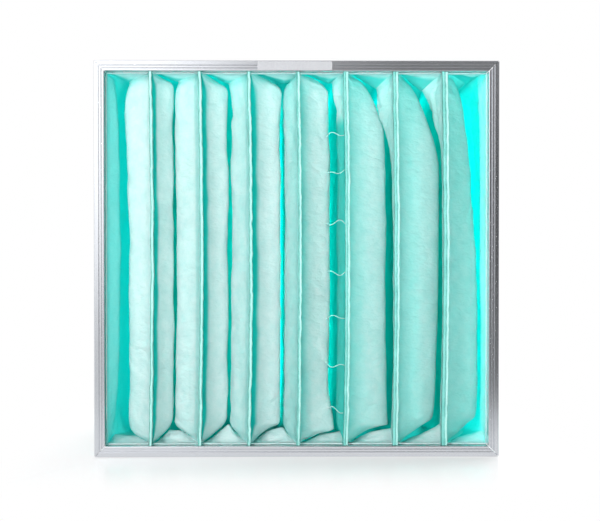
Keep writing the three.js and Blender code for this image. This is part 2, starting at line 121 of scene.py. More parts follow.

# The line of each pocket's crest, where its walls come closest, as shares of the mouth's height and width.
# left, right: the walls, as (height, share of the width) from the bottom up.
# bottom, top: the folds' crests, as (share of the width, rise from the mouth's edge).
# late: how much later the right wall's corners reach the crest, in mm: top, bottom.
# creased: how far the wrinkles of the left and right walls stand out, in mm.
# crumpled: the same for the finer creases at the right wall's top and bottom.
# shaded: how much painted shade the left and right walls get, 0 to 1,
#   and the height where the right one's ends.
# loose: how much more light the media lets through past the crest.
# banded: how dark the painted shadow band along the left hem is, and the depths between which it fades.
# fold_dark: the depths between which painted shade darkens the top fold's crest.
POCKETS = [
    {
        "left": [
            (0, 0.03), (0.018, 0.1), (0.049, 0.158), (0.094, 0.214), (0.161, 0.26), (0.25, 0.31),
            (0.5, 0.33), (0.72, 0.325), (0.86, 0.3), (0.92, 0.26), (0.96, 0.215), (0.98, 0.17),
            (1, 0.02),
        ],
        "right": [
            (0.021, 0.95), (0.024, 0.8), (0.031, 0.66), (0.049, 0.595), (0.094, 0.565), (0.25, 0.54),
            (0.5, 0.52), (0.72, 0.5), (0.86, 0.465), (0.885, 0.455), (0.925, 0.478), (0.952, 0.526),
            (0.969, 0.563),
        ],
        "bottom": [(0, 0), (0.1, 0.011), (0.19, 0.027), (0.56, 0.023), (0.95, 0.021), (1, 0)],
        "top": [(0, 0), (0.563, 0.031), (1, 0)],
        "late": (4, 8),
        "creased": (1.5, 1.8),
        "crumpled": (0.5, 0.5),
        "shaded": (0.62, 0.0, 1.0),
        "loose": 0.35,
        "banded": (0.5, 22, 44),
        "fold_dark": (64, 78),
    },
    {
        "left": [
            (0, 0.02), (0.011, 0.106), (0.029, 0.261), (0.047, 0.385), (0.064, 0.445), (0.08, 0.465),
            (0.25, 0.465), (0.5, 0.465), (0.86, 0.46), (0.952, 0.485), (0.967, 0.456), (0.978, 0.3),
            (0.986, 0.194), (1, 0.02),
        ],
        "right": [
            (0.036, 0.756), (0.051, 0.54), (0.064, 0.5), (0.08, 0.5), (0.25, 0.5), (0.5, 0.5),
            (0.86, 0.5), (0.939, 0.53), (0.958, 0.555), (0.971, 0.59),
        ],
        "bottom": [
            (0, 0), (0.106, 0.007), (0.262, 0.025), (0.384, 0.041), (0.571, 0.04), (0.756, 0.034),
            (1, 0),
        ],
        "top": [(0, 0), (0.3, 0.0135), (0.59, 0.029), (1, 0)],
        "late": (3, 8),
        "creased": (2.2, 1.6),
        "crumpled": (1.0, 1.5),
        "shaded": (0.03, 0.12, 1.0),
        "loose": 1.0,
        "banded": (1.0, 46, 52),
        "fold_dark": (64, 78),
    },
    {
        "left": [
            (0, 0.02), (0.011, 0.078), (0.021, 0.203), (0.035, 0.344), (0.048, 0.454), (0.062, 0.54),
            (0.078, 0.57), (0.25, 0.555), (0.5, 0.555), (0.86, 0.555), (0.944, 0.58), (0.956, 0.54),
            (0.968, 0.393), (0.98, 0.246), (1, 0.02),
        ],
        "right": [
            (0.027, 0.804), (0.044, 0.7), (0.062, 0.63), (0.088, 0.64), (0.25, 0.63), (0.5, 0.635),
            (0.72, 0.635), (0.861, 0.645), (0.885, 0.7), (0.915, 0.66), (0.939, 0.63), (0.963, 0.6),
        ],
        "bottom": [
            (0, 0), (0.204, 0.017), (0.344, 0.031), (0.455, 0.043), (0.587, 0.056), (0.689, 0.04),
            (0.804, 0.025), (1, 0),
        ],
        "top": [(0, 0), (0.248, 0.0115), (0.601, 0.035), (1, 0)],
        "late": (4, 8),
        "creased": (2.2, 2.2),
        "crumpled": (2.0, 3.0),
        "shaded": (0.06, 0.22, 1.0),
        "loose": 1.0,
        "banded": (1.0, 46, 52),
        "fold_dark": (64, 78),
    },
    {
        "left": [
            (0, 0.02), (0.011, 0.091), (0.028, 0.217), (0.042, 0.358), (0.051, 0.491), (0.056, 0.61),
            (0.094, 0.625), (0.25, 0.62), (0.5, 0.62), (0.86, 0.625), (0.939, 0.655), (0.956, 0.616),
            (0.972, 0.43), (0.983, 0.261), (1, 0.02),
        ],
        "right": [
            (0.036, 0.767), (0.05, 0.73), (0.094, 0.715), (0.25, 0.715), (0.5, 0.715), (0.72, 0.715),
            (0.86, 0.72), (0.925, 0.73), (0.947, 0.74), (0.959, 0.77), (0.967, 0.858),
        ],
        "bottom": [
            (0, 0), (0.217, 0.024), (0.358, 0.037), (0.492, 0.042), (0.695, 0.047), (0.767, 0.034),
            (1, 0),
        ],
        "top": [(0, 0), (0.263, 0.009), (0.725, 0.031), (0.858, 0.03), (1, 0)],
        "late": (4, 8),
        "creased": (2.2, 2.2),
        "crumpled": (2.0, 3.0),
        "shaded": (0.06, 0.36, 1.0),
        "loose": 0.0,
        "banded": (1.0, 46, 53),
        "fold_dark": (62, 76),
    },
    {
        "left": [
            (0, 0.02), (0.011, 0.077), (0.021, 0.265), (0.032, 0.464), (0.039, 0.76), (0.067, 0.74),
            (0.15, 0.665), (0.25, 0.645), (0.5, 0.65), (0.86, 0.65), (0.942, 0.656), (0.955, 0.596),
            (0.97, 0.464), (0.982, 0.288), (0.99, 0.077), (1, 0.02),
        ],
        "right": [
            (0.036, 0.965), (0.046, 0.864), (0.067, 0.83), (0.25, 0.81), (0.5, 0.815), (0.72, 0.815),
            (0.86, 0.84), (0.893, 0.854), (0.925, 0.77), (0.952, 0.74), (0.97, 0.721),
        ],
        "bottom": [(0, 0), (0.266, 0.018), (0.465, 0.028), (0.776, 0.033), (0.965, 0.036), (1, 0)],
        "top": [(0, 0), (0.289, 0.012), (0.466, 0.022), (0.632, 0.031), (0.721, 0.03), (1, 0)],
        "late": (4, 6),
        "creased": (2.2, 2.0),
        "crumpled": (2.5, 1.0),
        "shaded": (0.08, 0.75, 0.88),
        "loose": 1.0,
        "banded": (0.7, 40, 58),
        "fold_dark": (56, 70),
    },
    {
        "left": [
            (0, 0.02), (0.011, 0.072), (0.029, 0.267), (0.043, 0.485), (0.049, 0.705), (0.055, 0.88),
            (0.08, 0.86), (0.25, 0.82), (0.5, 0.79), (0.72, 0.8), (0.811, 0.77), (0.852, 0.74),
            (0.88, 0.68), (0.919, 0.56), (0.944, 0.46), (0.966, 0.335), (0.979, 0.19), (0.986, 0.06),
            (1, 0.01),
        ],
        "right": [
            (0.044, 0.985), (0.08, 0.99), (0.25, 0.98), (0.5, 0.97), (0.72, 0.96), (0.751, 0.955),
            (0.832, 0.83), (0.872, 0.71), (0.925, 0.635), (0.952, 0.617),
        ],
        "bottom": [(0, 0), (0.268, 0.023), (0.487, 0.035), (0.706, 0.04), (1, 0.044)],
        "top": [(0, 0), (0.323, 0.025), (0.617, 0.047), (0.774, 0.032), (1, 0)],
        "late": (2, 4),
        "creased": (1.8, 2.2),
        "crumpled": (4.0, 1.0),
        "shaded": (0.32, 0.25, 1.0),
        "loose": 1.0,
        "banded": (0.6, 38, 64),
        "fold_dark": (46, 60),
    },
    {
        "left": [
            (0, 0.02), (0.011, 0.059), (0.03, 0.278), (0.049, 0.497), (0.072, 0.76), (0.107, 0.8),
            (0.25, 0.84), (0.5, 0.87), (0.744, 0.88), (0.791, 0.83), (0.865, 0.645), (0.925, 0.46),
            (0.959, 0.29), (0.982, 0.09), (1, 0.01),
        ],
        "right": [
            (0.059, 0.985), (0.08, 0.97), (0.25, 0.98), (0.5, 0.98), (0.72, 0.98), (0.786, 0.97),
            (0.811, 0.93), (0.865, 0.8), (0.915, 0.7), (0.931, 0.62), (0.947, 0.53),
        ],
        "bottom": [(0, 0), (0.28, 0.018), (0.501, 0.027), (0.868, 0.049), (1, 0.06)],
        "top": [(0, 0), (0.278, 0.029), (0.51, 0.053), (0.676, 0.04), (1, 0)],
        "late": (2, 4),
        "creased": (1.8, 2.2),
        "crumpled": (4.0, 1.0),
        "shaded": (0.42, 0.25, 1.0),
        "loose": 0.95,
        "banded": (0.6, 38, 66),
        "fold_dark": (46, 60),
    },
    {
        "left": [
            (0, 0.02), (0.011, 0.03), (0.033, 0.268), (0.054, 0.466), (0.076, 0.69), (0.116, 0.73),
            (0.161, 0.76), (0.25, 0.76), (0.5, 0.69), (0.72, 0.56), (0.86, 0.43), (0.92, 0.36),
            (0.952, 0.275), (0.979, 0.13), (0.984, 0.03), (1, 0.01),
        ],
        "right": [
            (0.036, 0.89), (0.08, 0.87), (0.25, 0.85), (0.5, 0.82), (0.72, 0.82), (0.86, 0.82),
            (0.93, 0.81), (0.985, 0.78),
        ],
        "bottom": [(0, 0), (0.27, 0.019), (0.643, 0.027), (0.892, 0.036), (1, 0)],
        "top": [(0, 0), (0.6, 0.016), (0.72, 0.014), (1, 0)],
        "late": (4, 4),
        "creased": (2.4, 1.0),
        "crumpled": (1.5, 1.5),
        "shaded": (0.5, 0.2, 1.0),
        "loose": 0.22,
        "banded": (0.5, 38, 62),
        "fold_dark": (70, 84),
    },
]

# Camera
CAMERA_AT = (-0.020, -2.1125, 0.3177)
CAMERA_TURN = math.radians(0.670)
CAMERA_TILT = math.radians(-0.831)
CAMERA_LENS = 86.29


def mix(a, b, t):
    return a + (b - a) * t


def smooth(start, end, value):
    t = np.clip((value - start) / (end - start), 0, 1)
    return t * t * (3 - 2 * t)


def curve(points, at):
    """A smooth curve through points of (height, value), with no overshoot."""
    x, y = np.array(points, float).T
    at = np.clip(at, x[0], x[-1])
    step = np.diff(x)
    slope = np.diff(y) / step
    tangent = np.zeros_like(y)
    same = slope[:-1] * slope[1:] > 0
    with np.errstate(divide="ignore", invalid="ignore"):
        harmonic = 2 * slope[:-1] * slope[1:] / (slope[:-1] + slope[1:])
    tangent[1:-1] = np.where(same, harmonic, 0)
    tangent[0] = slope[0]
    tangent[-1] = slope[-1]
    i = np.clip(np.searchsorted(x, at) - 1, 0, len(step) - 1)
    h = step[i]
    t = (at - x[i]) / h
    return (
        (1 + 2 * t) * (1 - t) ** 2 * y[i]
        + t * (1 - t) ** 2 * h * tangent[i]
        + t * t * (3 - 2 * t) * y[i + 1]
        + t * t * (t - 1) * h * tangent[i + 1]
    )


def rise(points, share):
    """How far a fold's crest stands in from the mouth's edge, as a share of the mouth's height."""
    x, y = np.array(points, float).T
    return np.interp(share, x, y)


def seam_x(index, z):
    if index == 0:
        return np.full_like(z, OPENING_LEFT)
    if index == POCKET_COUNT:
        return np.full_like(z, OPENING_RIGHT)
    from_middle = (z - MID_HEIGHT) / MID_HEIGHT
    bow = SEAM_BOW * (1 - from_middle**2)
    return SEAM_SHIFT + (index - POCKET_COUNT / 2) * SEAM_PITCH + bow


DRAPE = ((95, 0.5, False), (48, 0.35, False), (60, 0.4, True), (30, 0.3, True), (15, 0.14, True))
CRUMPLE = ((34, 0.45, True), (20, 0.4, True), (11, 0.25, True))


def wrinkles(seed, depth, height, kind=DRAPE, slant=0.9):
    """Soft random swells and sharper slanting creases, about -1 to 1."""
    rng = np.random.default_rng(700 + seed)
    total = 0 * (depth + height)
    for wavelength, weight, sharp in kind:
        for _ in range(4):
            turn = rng.uniform(-slant, slant)
            k = 2 * np.pi / (wavelength * rng.uniform(0.8, 1.25))
            bend = 0.6 * np.sin(height / rng.uniform(30, 90) + rng.uniform(0, 6.28))
            phase = k * (depth * np.cos(turn) + height * np.sin(turn)) + bend + rng.uniform(0, 6.28)
            wave = 1 - 2 * np.abs(np.sin(phase / 2)) ** 0.7 if sharp else np.sin(phase)
            fade = 0.5 + 0.5 * np.sin(height / rng.uniform(35, 80) + rng.uniform(0, 6.28))
            total = total + weight * wave * fade / 2
    return total


def new_object(name, points, faces, material, smooth_faces=True):
    mesh = bpy.data.meshes.new(name)
    mesh.from_pydata([tuple(p) for p in np.asarray(points) * MM], [], faces)
    mesh.materials.append(material)
    mesh.validate()
    mesh.update()
    if smooth_faces:
        mesh.shade_smooth()
    piece = bpy.data.objects.new(name, mesh)
    bpy.context.scene.collection.objects.link(piece)
    return piece


def grid_object(name, points, material, closed):
    """A mesh from a grid of points of shape (rows, columns, 3). closed joins the last column to the first."""
    rows, columns, _ = points.shape
    r = np.arange(rows - 1)[:, None]
    c = np.arange(columns if closed else columns - 1)[None, :]
    following = (c + 1) % columns
    faces = np.stack(
        [r * columns + c, r * columns + following, (r + 1) * columns + following, (r + 1) * columns + c],
        axis=-1,
    ).reshape(-1, 4)
    return new_object(name, points.reshape(-1, 3), faces.tolist(), material)


# Materials


def new_material(name):
    material = bpy.data.materials.new(name)
    material.use_nodes = True
    tree = material.node_tree
    return material, tree, tree.nodes["Principled BSDF"]


def node(tree, kind, **values):
    made = tree.nodes.new(kind)
    for key, value in values.items():
        if hasattr(made, key):
            setattr(made, key, value)
        else:
            made.inputs[key].default_value = value
    return made


def ramp(tree, factor, stops):
    made = tree.nodes.new("ShaderNodeValToRGB")
    elements = made.color_ramp.elements
    while len(elements) < len(stops):
        elements.new(0.5)
    for element, (position, colour) in zip(elements, stops):
        element.position = position
        element.color = (*colour, 1)
    tree.links.new(factor, made.inputs["Fac"])
    return made.outputs["Color"]


def noise(tree, vector, scale, detail=3.0, roughness=0.55):
    made = tree.nodes.new("ShaderNodeTexNoise")
    made.inputs["Scale"].default_value = scale
    made.inputs["Detail"].default_value = detail
    made.inputs["Roughness"].default_value = roughness
    tree.links.new(vector, made.inputs["Vector"])
    return made.outputs["Fac"]


def stretched(tree, scale):
    place = tree.nodes.new("ShaderNodeTexCoord")
    mapping = tree.nodes.new("ShaderNodeMapping")
    mapping.inputs["Scale"].default_value = scale
    tree.links.new(place.outputs["Object"], mapping.inputs["Vector"])
    return mapping.outputs["Vector"]


def bump(tree, shader, height, strength, distance):
    made = tree.nodes.new("ShaderNodeBump")
    made.inputs["Strength"].default_value = strength
    made.inputs["Distance"].default_value = distance
    tree.links.new(height, made.inputs["Height"])
    tree.links.new(made.outputs["Normal"], shader.inputs["Normal"])
    return made


def map_range(tree, value, span, result, kind="SMOOTHSTEP"):
    made = tree.nodes.new("ShaderNodeMapRange")
    made.interpolation_type = kind
    made.inputs["From Min"].default_value, made.inputs["From Max"].default_value = span
    made.inputs["To Min"].default_value, made.inputs["To Max"].default_value = result
    tree.links.new(value, made.inputs["Value"])
    return made.outputs["Result"]


def maths(tree, kind, a, b):
    made = tree.nodes.new("ShaderNodeMath")
    made.operation = kind
    for socket, value in zip(made.inputs, (a, b)):
        if isinstance(value, (int, float)):
            socket.default_value = value
        else:
            tree.links.new(value, socket)
    return made.outputs[0]


def steel_material(name, along, flange_painted_shade):
    """Galvanised sheet with rolling streaks along one axis. The flange behind the face is darkened as painted
    shade, by the factor given last.
    """
    material, tree, shader = new_material(name)
    scale = [1.0, 1.0, 1.0]
    scale[along] = 0.004
    streaks = noise(tree, stretched(tree, scale), 1400.0, 2.0, 0.5)
    clouds = noise(tree, stretched(tree, (1, 1, 1)), 14.0, 3.0)
    joined = node(tree, "ShaderNodeMath", operation="MULTIPLY_ADD")
    joined.inputs[1].default_value = 0.35
    tree.links.new(clouds, joined.inputs[0])
    tree.links.new(streaks, joined.inputs[2])
    colour = ramp(
        tree,
        joined.outputs[0],
        [(0.42, (0.60, 0.61, 0.635)), (0.62, (0.62, 0.63, 0.655)), (0.85, (0.64, 0.65, 0.675))],
    )
    place = tree.nodes.new("ShaderNodeNewGeometry")
    split = tree.nodes.new("ShaderNodeSeparateXYZ")
    tree.links.new(place.outputs["Position"], split.inputs[0])
    # painted shade: the flange behind the face is darkened by the factor given last
    face = (FRONT + 1.0) * MM, (FRONT + 2.0) * MM
    dimmed = tree.nodes.new("ShaderNodeVectorMath")
    dimmed.operation = "SCALE"
    tree.links.new(colour, dimmed.inputs[0])
    tree.links.new(map_range(tree, split.outputs[1], face, (1, flange_painted_shade)), dimmed.inputs["Scale"])
    tree.links.new(dimmed.outputs[0], shader.inputs["Base Color"])
    rough = node(tree, "ShaderNodeMapRange")
    rough.inputs["From Min"].default_value = 0.3
    rough.inputs["From Max"].default_value = 0.9
    rough.inputs["To Min"].default_value = 0.2
    rough.inputs["To Max"].default_value = 0.15
    tree.links.new(joined.outputs[0], rough.inputs["Value"])
    tree.links.new(rough.outputs["Result"], shader.inputs["Roughness"])
    shader.inputs["Metallic"].default_value = 0.96
    bump(tree, shader, clouds, 0.02, 0.0006)
    return material


# Share of the light that goes through the loosest media
LOOSE_SHARE = 0.85


def fabric_material(name, colour, deep, through, share_through, painted_shade=None):
    """Soft nonwoven: matt fibre cloud with a little light passing through."""
    material, tree, shader = new_material(name)
    place = stretched(tree, (1, 1, 1))
    fibres = noise(tree, place, 420.0, 4.0, 0.75)
    clouds = noise(tree, place, 60.0, 4.0, 0.6)
    joined = node(tree, "ShaderNodeMath", operation="MULTIPLY_ADD")
    joined.inputs[1].default_value = 0.5
    tree.links.new(fibres, joined.inputs[0])
    tree.links.new(clouds, joined.inputs[2])
    shade = ramp(tree, joined.outputs[0], [(0.58, deep), (0.92, colour)])
    # painted shade: where the painted shade attribute is set, the colour blends to the darker teal given as
    # the last argument
    if painted_shade is not None:
        amount = tree.nodes.new("ShaderNodeAttribute")
        amount.attribute_name = "painted_shade_amount"
        blend_painted_shade = tree.nodes.new("ShaderNodeMix")
        blend_painted_shade.data_type = "RGBA"
        factor, _, _, _, _, _, plain, deeper = blend_painted_shade.inputs[:8]
        tree.links.new(amount.outputs["Fac"], factor)
        tree.links.new(shade, plain)
        deeper.default_value = (*painted_shade, 1)
        shade = blend_painted_shade.outputs[2]
    tree.links.new(shade, shader.inputs["Base Color"])
    shader.inputs["Roughness"].default_value = 0.9
    shader.inputs["Specular IOR Level"].default_value = 0.1
    drape = noise(tree, stretched(tree, (1, 1, 2.0)), 24.0, 4.0, 0.5)
    creases = maths(tree, "ABSOLUTE", maths(tree, "SUBTRACT", drape, 0.5), 0)
    grain = maths(tree, "MULTIPLY", joined.outputs[0], 0.06)
    bump(tree, shader, maths(tree, "ADD", creases, grain), 0.8, 0.010)
    glow = node(tree, "ShaderNodeBsdfTranslucent")
    glow.inputs["Color"].default_value = (*through, 1)
    blend = node(tree, "ShaderNodeMixShader")
    blend.inputs["Fac"].default_value = share_through
    if painted_shade is not None:
        # past the crest the media is a single loose layer that more light passes through
        loose = tree.nodes.new("ShaderNodeAttribute")
        loose.attribute_name = "loose"
        share = map_range(tree, loose.outputs["Fac"], (0, 1), (share_through, LOOSE_SHARE), "LINEAR")
        tree.links.new(share, blend.inputs["Fac"])
    tree.links.new(shader.outputs[0], blend.inputs[1])
    tree.links.new(glow.outputs[0], blend.inputs[2])
    tree.links.new(blend.outputs[0], tree.nodes["Material Output"].inputs["Surface"])
    return material


def paper_material():
    material, tree, shader = new_material("label_paper")
    fibres = noise(tree, stretched(tree, (1, 1, 1)), 400.0, 3.0)
    shade = ramp(tree, fibres, [(0.3, (0.30, 0.305, 0.32)), (0.7, (0.34, 0.345, 0.36))])
    tree.links.new(shade, shader.inputs["Base Color"])
    shader.inputs["Roughness"].default_value = 0.5
    bump(tree, shader, fibres, 0.1, 0.0001)
    return material


# the left, top and bottom rails' flanges take painted shade at 0.4; the right rail's stays bright
STEEL_ALONG_X = steel_material("galvanised_along_x", 0, 0.4)
STEEL_ALONG_Z = steel_material("galvanised_along_z", 2, 0.4)
STEEL_RIGHT = steel_material("galvanised_right", 2, 1.0)
# the inside's last colour is the dark teal of the painted shade
MEDIA_INSIDE = fabric_material(
    "filter_media", (0.94, 0.93, 0.95), (0.77, 0.84, 0.86), (0.02, 0.93, 0.88), 0.42, (0.01, 0.42, 0.38)
)
MEDIA_OUTSIDE = fabric_material(
    "filter_media_outside", (0.93, 0.92, 0.94), (0.78, 0.83, 0.85), (0.01, 0.92, 0.88), 0.72
)
HEM_FABRIC = fabric_material("hem_fabric", (0.42, 0.72, 0.68), (0.30, 0.62, 0.58), (0.1, 0.7, 0.62), 0.2)
# the hem's flat strip is a darker copy of the hem fabric, painted shade for the fold's shaded side
HEM_STRIP = fabric_material("hem_strip", (0.20, 0.52, 0.48), (0.13, 0.42, 0.38), (0.1, 0.5, 0.46), 0.1)
THREAD = fabric_material("thread", (0.62, 0.86, 0.84), (0.50, 0.78, 0.76), (0.1, 0.7, 0.62), 0.1)
PAPER = paper_material()


def set_material(name, material):
    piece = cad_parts[name]
    piece.data.materials.clear()
    piece.data.materials.append(material)


# Pockets


def pocket_rings(index, depth, thickness):
    """Rings of one face of a pocket's wall, shape (depths, ring points, 3)."""
    pocket = POCKETS[index]
    depth = np.asarray(depth, float)[:, None]
    thickness = np.asarray(thickness, float)[:, None]
    edge = EDGE_GAP + EDGE_MEDIA
    left_side = edge if index == 0 else HEMS[index - 1][2] - HEM_COVER
    right_side = edge if index == POCKET_COUNT - 1 else -HEMS[index][0] - HEM_COVER
    mouth_bottom = OPENING_BOTTOM + edge
    mouth_top = OPENING_TOP - edge
    mouth_height = mouth_top - mouth_bottom

    def mouth_x(share, z):
        return mix(seam_x(index, z) + left_side, seam_x(index + 1, z) - right_side, share)

    middle_height = np.array([MID_HEIGHT])
    mouth_width = float(mouth_x(1, middle_height)[0] - mouth_x(0, middle_height)[0])
    to_body = smooth(CREST_AT, BODY_AT, depth)
    to_tail = smooth(BODY_AT, POCKET_LENGTH - TAIL_SEAM, depth)
    spread = 1 + SPREAD * smooth(SPREAD_FROM, CREST_AT, depth)
    body_share = float(curve(pocket["left"], 0.5) + curve(pocket["right"], 0.5)) / 2
    body_limit = OPENING_RIGHT - BODY_HALF_WIDTH - MEDIA
    body_x = float(np.clip(mouth_x(mix(body_share, 0.5, 0.4), middle_height)[0], -body_limit, body_limit))
    half_width = mix(BODY_HALF_WIDTH, TAIL_HALF_WIDTH, to_tail)

    def progress(corner_distance, late):
        delay = late * np.exp(-((corner_distance / CORNER_REACH) ** 2))
        return smooth(WALL_TURNS_AT + 0.5 * delay, CREST_AT + delay, depth)

    def wall_ends(side):
        """The wall's crest points, with both ends on the folds' crests."""
        points = list(pocket["left" if side < 0 else "right"])
        points[0] = (rise(pocket["bottom"], points[0][1]), points[0][1])
        points[-1] = (1 - rise(pocket["top"], points[-1][1]), points[-1][1])
        return points

    def wall(side):
        along = 0.5 - 0.5 * np.cos(np.pi * np.linspace(0, 1, WALL_STEPS))
        own = wall_ends(side)
        height = mix(own[0][0], own[-1][0], along)
        left = curve(wall_ends(-1), height)
        right = curve(wall_ends(1), height)
        half_share = np.maximum((right - left) * mouth_width, MIN_GAP) / 2 / mouth_width
        share = np.clip((left + right) / 2, half_share, 1 - half_share) + side * half_share
        mouth_z = mix(mouth_bottom, mouth_top, along)
        crest_z = mix(mouth_bottom, mouth_top, height)
        body_z = mix(mouth_bottom + BODY_BOTTOM_RISE, mouth_top - BODY_TOP_DROP, along)
        rounding = mix(FOLD_WIDTH, 1, np.sqrt(1 - np.abs(2 * along - 1) ** 6))
        late = 0 if side < 0 else np.where(along > 0.5, *pocket["late"])
        to_crest = progress(np.minimum(along, 1 - along) * mouth_height, late)
        crest_x = mouth_x(share, crest_z)
        start_x = mouth_x(0 if side < 0 else 1, mouth_z)
        x = mix(mix(start_x, crest_x, to_crest), body_x + side * half_width * rounding, to_body)
        z = mix(mix(mouth_z, crest_z, to_crest), body_z, to_body)
        vertical = smooth(0.97, 1, along) - smooth(0.03, 0, along)
        from_ends = smooth(0, 0.03, along) * smooth(1, 0.97, along)
        from_hems = smooth(20, 60, depth)
        free = from_hems * (1 - smooth(0.85, 1, to_tail)) * from_ends
        wrinkle = pocket["creased"][0 if side < 0 else 1] * wrinkles(2 * index + (side > 0), depth, z)
        if side > 0:
            near_top, near_bottom = smooth(0.72, 0.9, along), smooth(0.16, 0.06, along)
            amount = near_top * pocket["crumpled"][0] + near_bottom * pocket["crumpled"][1]
            early = smooth(16, 34, depth) / np.maximum(from_hems, 0.12)
            wrinkle = wrinkle + np.minimum(early, 4) * amount * wrinkles(60 + index, depth, z, CRUMPLE, 1.5)
        x = SPREAD_CENTRE_X + (x - SPREAD_CENTRE_X) * spread + side * thickness + free * wrinkle
        z = MID_HEIGHT + (z - MID_HEIGHT) * spread + vertical * thickness
        return x, z

    def fold(kind):
        """Points across the top or bottom fold, from the left wall's end to the right wall's."""
        up = 1 if kind == "top" else -1
        across = np.linspace(0, 1, FOLD_STEPS + 2)[1:-1]
        end = -1 if up > 0 else 0
        share = mix(wall_ends(-1)[end][1], wall_ends(1)[end][1], across)
        mouth_z = mouth_top if up > 0 else mouth_bottom
        crest_z = mouth_z - up * mouth_height * rise(pocket[kind], share)
        body_z = mouth_z - up * (BODY_TOP_DROP if up > 0 else BODY_BOTTOM_RISE)
        late = across * pocket["late"][0 if up > 0 else 1]
        to_crest = progress(mouth_width * np.minimum(across, 1 - across), late)
        start_x = mouth_x(across, np.full_like(across, mouth_z))
        body_at = body_x + (2 * across - 1) * half_width * FOLD_WIDTH
        x = mix(mix(start_x, mouth_x(share, crest_z), to_crest), body_at, to_body)
        z = mix(mix(mouth_z, crest_z, to_crest), body_z, to_body)
        free = 1.4 * smooth(20, 38, depth) * (1 - smooth(120, 180, depth)) * np.sin(np.pi * across)
        z = z + free * wrinkles(80 + 2 * index + (up > 0), depth, x, CRUMPLE, 1.5)
        x = SPREAD_CENTRE_X + (x - SPREAD_CENTRE_X) * spread + (2 * across - 1) * thickness
        z = MID_HEIGHT + (z - MID_HEIGHT) * spread + up * thickness
        return x, z

    walls = [wall(-1), wall(1)]
    top = fold("top")
    bottom = fold("bottom")
    parts = [walls[0], top, tuple(v[:, ::-1] for v in walls[1]), tuple(v[:, ::-1] for v in bottom)]
    x = np.concatenate([p[0] for p in parts], axis=1)
    z = np.concatenate([p[1] for p in parts], axis=1)
    # along the rails the media starts at the flange's back edge, and along the hems right behind them
    at_top = smooth(mouth_top - 9, mouth_top - 3, z)
    at_bottom = smooth(mouth_bottom + 9, mouth_bottom + 3, z)
    at_left = smooth(OPENING_LEFT + 12, OPENING_LEFT + 4, x)
    at_right = smooth(OPENING_RIGHT - 12, OPENING_RIGHT - 4, x)
    at_fold = np.maximum(at_top, at_bottom)
    at_rail = np.maximum(at_left, at_right)
    start = mix(MOUTH_AT, RAIL_MOUTH_AT, np.maximum(at_fold, at_rail)[:1])
    settled = start + (depth - MOUTH_AT) * (SETTLED_AT - start) / (SETTLED_AT - MOUTH_AT)
    y = FRONT + np.where(depth < SETTLED_AT, settled, depth + 0 * x)
    return np.stack([x, y, z], axis=-1)


def painted_shade_amount(index, rings, depths):
    """Painted shade on the media, 0 to 1: a painted shadow band along the hems, painted shade on chosen walls
    and along the top fold's crest, and painted shade deep inside past the crest.
    """
    pocket = POCKETS[index]
    depths = np.asarray(depths, float)[:, None]
    left_amount, right_amount, right_ends = pocket["shaded"]
    dark, fade_from, fade_to = pocket["banded"]
    # painted shadow: a dark band along the left hem, and a fainter one along the right hem
    band = dark * smooth(fade_to, fade_from, depths)
    right_band = 0.4 * band * (index < POCKET_COUNT - 1)
    height = (rings[:, RIGHT_WALL, 2] - OPENING_BOTTOM) / (OPENING_TOP - OPENING_BOTTOM)
    below = 1 - smooth(right_ends - 0.02, right_ends + 0.02, height) if right_ends < 1 else 1
    amount = np.zeros(rings.shape[:2])
    amount[:, LEFT_WALL] = np.maximum(band, left_amount)
    # painted shade along the top fold's crest
    amount[:, TOP_FOLD] = TOP_FOLD_PAINTED_SHADE * smooth(*pocket["fold_dark"], depths)
    amount[:, RIGHT_WALL] = np.maximum(right_band, right_amount * below)
    # painted shade deep inside the pocket, past the crest
    deep = PAINTED_SHADE_INSIDE * smooth(CREST_AT - 3, CREST_AT + 25, depths)
    return np.clip(np.maximum(amount, deep), 0, 1)


def looseness(index, painted_shade, depths):
    """How freely light passes through the media, 0 to 1: more past the crest."""
    past_crest = smooth(CREST_AT, CREST_AT + 25, depths)[:, None]
    loose = POCKETS[index]["loose"] * past_crest + np.zeros(painted_shade.shape[1])
    if index == THREADED_POCKET:
        # its right wall stands free in the light from behind, below a fold near its top
        loose[:, RIGHT_WALL] = np.maximum(loose[:, RIGHT_WALL], 0.9 * painted_shade[:, RIGHT_WALL])
    return loose


